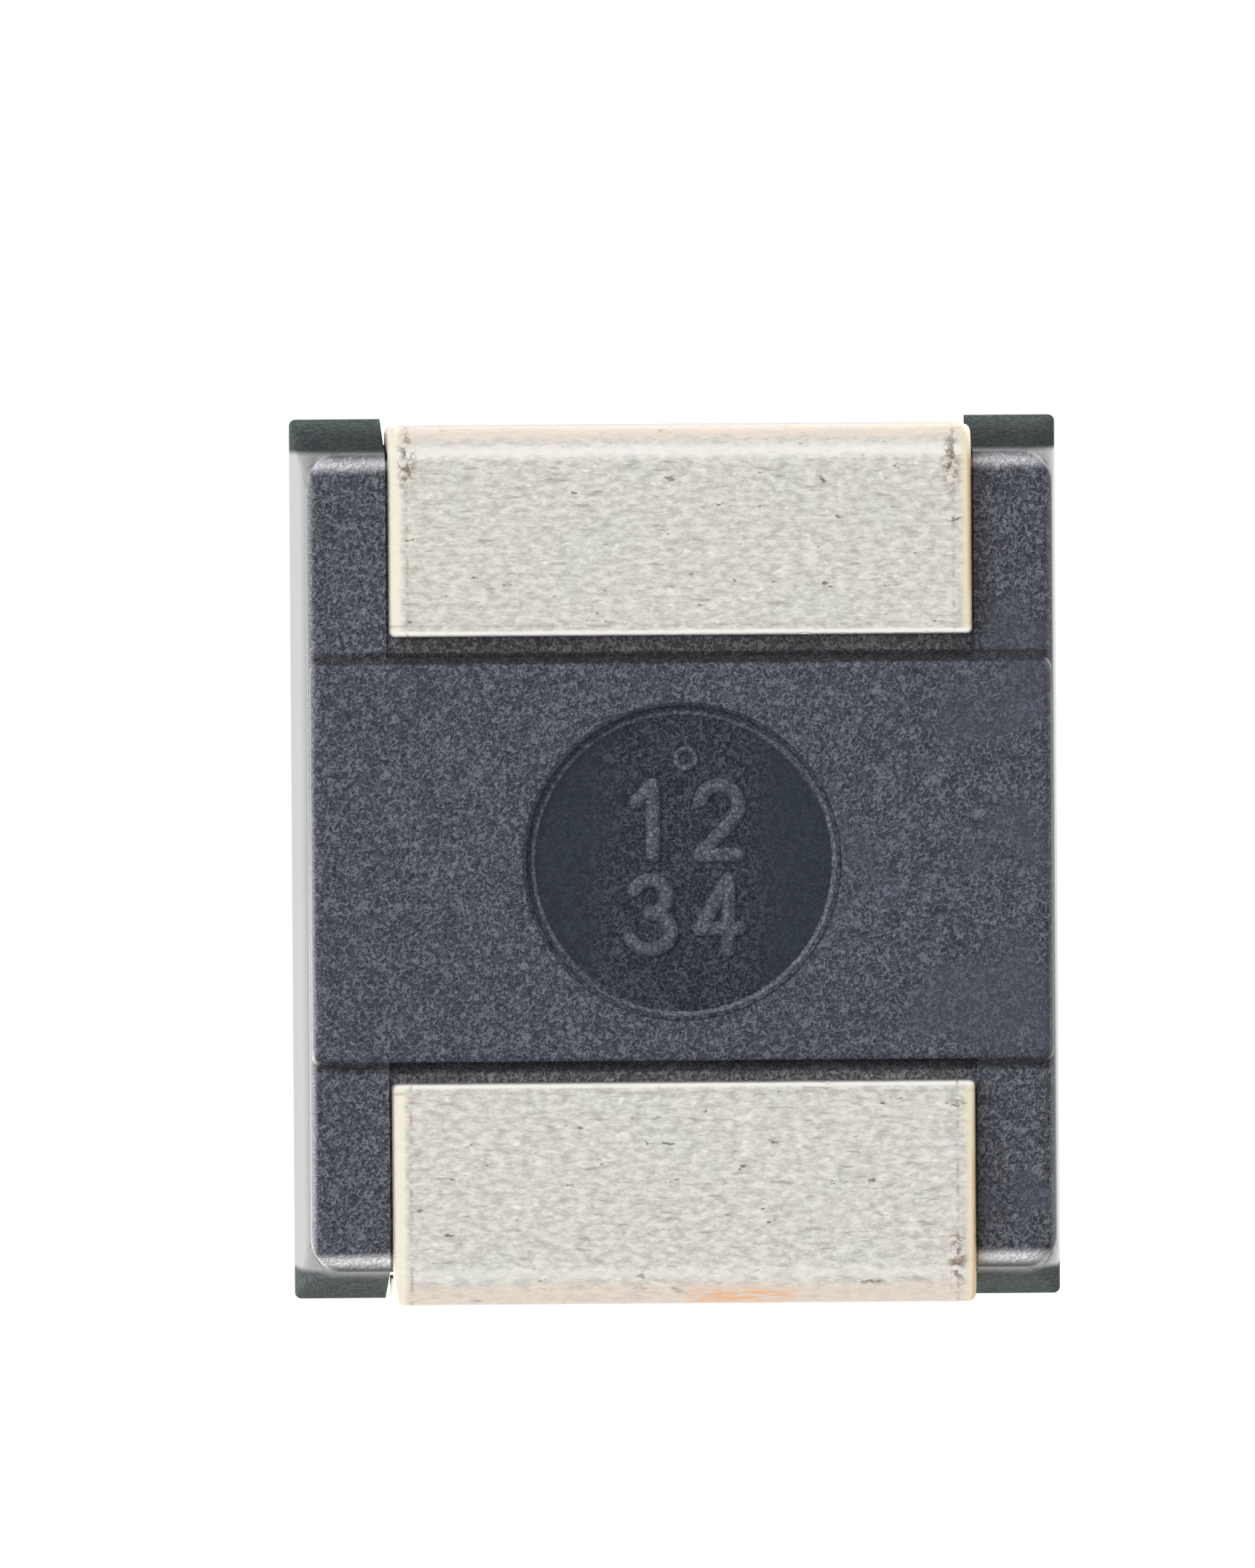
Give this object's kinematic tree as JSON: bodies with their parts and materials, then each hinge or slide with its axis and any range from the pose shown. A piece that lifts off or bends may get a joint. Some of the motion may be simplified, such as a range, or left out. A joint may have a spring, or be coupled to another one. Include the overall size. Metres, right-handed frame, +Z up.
{
  "type": "tantalum capacitor",
  "caption": "Surface-mount tantalum capacitor: drafted black moulding with a pale polarity bar on top and wide tinned terminals folded under each end.",
  "frame": {"origin": "centre of the solder plane, midway between the two solder feet", "axes": "+Z up from the board through the marked top face, +X along the chip from the anode to the cathode, +Y across it"},
  "size_m": [0.0034, 0.003, 0.0019],
  "materials": {
    "moulding_epoxy": "fine spark-eroded grain below, smoother on the side walls and the top",
    "tinned_lead": "matt tin on copper alloy, rolled streaks along the fold, copper showing at the bend",
    "polarity_bleach": "blue-grey laser-bleached skin with ragged ends",
    "sintered_tantalum": "porous, matt",
    "tantalum_wire": "drawn wire",
    "fluoropolymer": "waxy white",
    "cathode_polymer": "dark blue-black film",
    "graphite": "dull black coat",
    "silver_paint": "matt silver paint",
    "silver_glue": "cured silver-filled adhesive",
    "weld_metal": "small bright bead"
  },
  "bodies": {
    "root": {"moulded_case": "moulding_epoxy", "anode_terminal": "tinned_lead", "cathode_terminal": "tinned_lead", "polarity_mark": "polarity_bleach", "tantalum_pellet": "sintered_tantalum", "anode_wire": "tantalum_wire", "insulating_washer": "fluoropolymer", "polymer_layer": "cathode_polymer", "carbon_layer": "graphite", "silver_layer": "silver_paint", "silver_adhesive": "silver_glue", "wire_weld": "weld_metal"}
  },
  "joints": []
}
